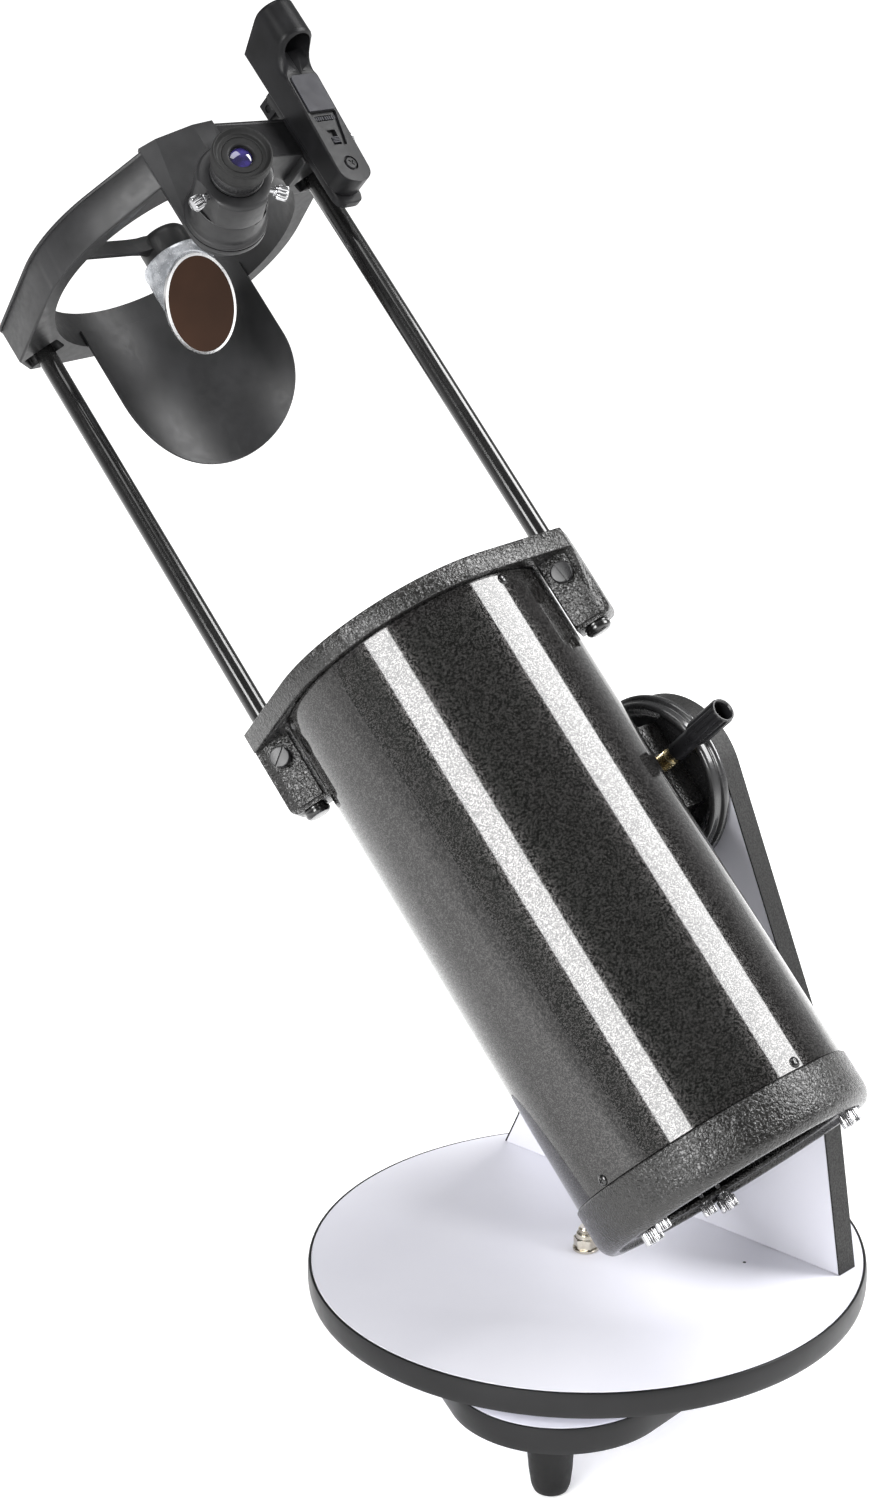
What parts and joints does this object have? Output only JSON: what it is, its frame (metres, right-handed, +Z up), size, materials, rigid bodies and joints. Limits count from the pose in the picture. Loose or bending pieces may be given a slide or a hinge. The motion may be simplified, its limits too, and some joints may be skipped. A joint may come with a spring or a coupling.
{
  "type": "dobsonian telescope",
  "caption": "Table-top reflecting telescope with a collapsing two-rod tube, open upper cage, helical focuser and red-dot finder on a one-armed turntable base.",
  "frame": {"origin": "on the surface that the feet stand on, under the middle of the object's outline at rest; the azimuth axis stands 86.4 mm behind it at x = 0, y = -0.0864", "axes": "+Z up; +Y the horizontal direction that the tube points in; +X along the altitude axis, from the tube towards the side board"},
  "size_m": [0.3642, 0.6286, 0.8696],
  "materials": {
    "white_laminate": "smooth white laminate on particle board",
    "black_edge": "black edge band",
    "black_gloss": "gloss black enamel with fine sparkle",
    "black_casting": "black leather-textured paint on a casting",
    "black_satin": "satin black plastic",
    "black_rubber": "black rubber",
    "nickel": "nickel-plated steel",
    "chrome": "bright chrome",
    "brass": "plain turned brass",
    "silver": "bright turned aluminium",
    "mirror": "first-surface mirror on glass",
    "glass": "coated glass",
    "plastic_pad": "smooth pale plastic",
    "grey_panel": "smooth dark grey plastic"
  },
  "bodies": {
    "ground": {"ground_board": "white_laminate", "ground_board_edge": "black_edge", "foot_1": "black_rubber", "foot_2": "black_rubber", "foot_3": "black_rubber", "glide_pad_1": "plastic_pad", "glide_pad_2": "plastic_pad", "glide_pad_3": "plastic_pad", "pivot_bolt": "nickel", "pivot_washer": "nickel", "pivot_nut": "nickel"},
    "turntable": {"turntable_disc": "white_laminate", "turntable_edge": "black_edge", "side_board": "white_laminate", "side_board_edge": "black_edge", "friction_washer": "plastic_pad", "altitude_washer": "nickel"},
    "altitude_hub": {"altitude_disc": "black_gloss", "dovetail_saddle": "black_casting", "altitude_bolt": "nickel"},
    "altitude_tension": {"altitude_tension_knob": "black_satin"},
    "dovetail_clamp": {"dovetail_knob": "black_satin", "dovetail_knob_stud": "brass"},
    "tube": {"main_tube": "black_gloss", "dovetail_bar": "black_satin", "front_ring": "black_casting", "rear_cap": "black_casting", "mirror_cell": "black_casting", "primary_mirror": "mirror"},
    "rod_lock_1": {"rod_lock_screw_1": "black_satin"},
    "rod_lock_2": {"rod_lock_screw_2": "black_satin"},
    "collimation_1": {"collimation_knob_1": "chrome"},
    "collimation_2": {"collimation_knob_2": "chrome"},
    "collimation_3": {"collimation_knob_3": "chrome"},
    "upper_cage": {"right_rod": "black_gloss", "left_rod": "black_gloss", "upper_ring": "black_satin", "spider": "black_satin", "secondary_mirror": "mirror", "secondary_holder": "silver", "light_shield": "black_satin", "focuser_housing": "black_satin", "finder_base": "black_satin", "finder_body": "black_satin", "finder_window": "glass"},
    "drawtube": {"focuser_sleeve": "black_satin"},
    "focus_ring": {"eyepiece_holder": "black_satin"},
    "thumbscrew_left": {"thumbscrew_1": "chrome"},
    "thumbscrew_right": {"thumbscrew_2": "chrome"},
    "eyepiece": {"eyepiece_barrel": "chrome", "eyepiece_body": "black_satin", "eyecup": "black_rubber", "eye_lens": "glass"},
    "finder_cover": {"finder_battery_cover": "grey_panel"},
    "finder_power": {"finder_switch": "black_satin"},
    "finder_elevation": {"finder_elevation_wheel": "black_satin"},
    "finder_azimuth": {"finder_azimuth_wheel": "chrome"}
  },
  "joints": [
    {"name": "azimuth_turn", "type": "hinge", "parent": "ground", "child": "turntable", "pos_m": [0, -0.0864, 0.0855], "axis": [0, 0, 1], "continuous": true},
    {"name": "altitude_tilt", "type": "hinge", "parent": "turntable", "child": "altitude_hub", "pos_m": [0, -0.0804, 0.3865], "axis": [1, 0, 0], "range_deg": [-46.5, 43.5]},
    {"name": "altitude_tension_turn", "type": "hinge", "parent": "altitude_hub", "child": "altitude_tension", "pos_m": [0.108, -0.0804, 0.3865], "axis": [1, 0, 0], "continuous": true},
    {"name": "dovetail_knob_turn", "type": "hinge", "parent": "altitude_hub", "child": "dovetail_clamp", "pos_m": [0.058, -0.12255, 0.42925], "axis": [0, -0.7254, 0.6884], "continuous": true},
    {"name": "tube_balance", "type": "slide", "parent": "altitude_hub", "child": "tube", "axis": [0, 0.6884, 0.7254], "range_m": [-0.04, 0.04]},
    {"name": "cage_extension", "type": "slide", "parent": "tube", "child": "upper_cage", "axis": [0, 0.6884, 0.7254], "range_m": [-0.225, 0]},
    {"name": "rod_lock_turn_1", "type": "hinge", "parent": "tube", "child": "rod_lock_1", "pos_m": [0.00541, -0.06354, 0.53731], "axis": [-0.7826, -0.4516, 0.4285], "continuous": true},
    {"name": "rod_lock_turn_2", "type": "hinge", "parent": "tube", "child": "rod_lock_2", "pos_m": [-0.12445, 0.05488, 0.42494], "axis": [-0.7826, -0.4516, 0.4285], "continuous": true},
    {"name": "collimation_turn_1", "type": "hinge", "parent": "tube", "child": "collimation_1", "pos_m": [-0.01342, -0.30356, 0.25362], "axis": [0, 0.6884, 0.7254], "continuous": true},
    {"name": "collimation_turn_2", "type": "hinge", "parent": "tube", "child": "collimation_2", "pos_m": [-0.12476, -0.24805, 0.20094], "axis": [0, 0.6884, 0.7254], "continuous": true},
    {"name": "collimation_turn_3", "type": "hinge", "parent": "tube", "child": "collimation_3", "pos_m": [-0.00282, -0.20586, 0.16091], "axis": [0, 0.6884, 0.7254], "continuous": true},
    {"name": "focus_turn", "type": "hinge", "parent": "drawtube", "child": "focus_ring", "pos_m": [-0.0957, 0.11164, 0.76397], "axis": [-0.3746, -0.6726, 0.6382], "range_deg": [0, 720]},
    {"name": "focus_travel", "type": "slide", "parent": "upper_cage", "child": "drawtube", "axis": [-0.3746, -0.6726, 0.6382], "range_m": [0, 0.012]},
    {"name": "thumbscrew_left_turn", "type": "hinge", "parent": "focus_ring", "child": "thumbscrew_left", "pos_m": [-0.12703, 0.10592, 0.76336], "axis": [-0.9158, 0.1607, -0.3682], "continuous": true},
    {"name": "thumbscrew_right_turn", "type": "hinge", "parent": "focus_ring", "child": "thumbscrew_right", "pos_m": [-0.0818, 0.08303, 0.7658], "axis": [0.6998, -0.6567, -0.2813], "continuous": true},
    {"name": "eyepiece_lift", "type": "slide", "parent": "focus_ring", "child": "eyepiece", "axis": [-0.3746, -0.6726, 0.6382], "range_m": [0, 0.038]},
    {"name": "battery_cover_slide", "type": "slide", "parent": "upper_cage", "child": "finder_cover", "axis": [0, 0.6361, 0.7716], "range_m": [-0.008, 0]},
    {"name": "finder_switch_slide", "type": "slide", "parent": "upper_cage", "child": "finder_power", "axis": [0, 0.6361, 0.7716], "range_m": [0, 0.005]},
    {"name": "finder_elevation_turn", "type": "hinge", "parent": "upper_cage", "child": "finder_elevation", "pos_m": [0.0105, 0.11569, 0.77185], "axis": [0, -0.7716, 0.6361], "continuous": true},
    {"name": "finder_azimuth_turn", "type": "hinge", "parent": "upper_cage", "child": "finder_azimuth", "pos_m": [0.0261, 0.13481, 0.78136], "axis": [1, 0, 0], "continuous": true}
  ],
  "couplings": [
    {"joint": "focus_turn", "follows": "focus_travel", "rad_per_m": 1047.2}
  ]
}
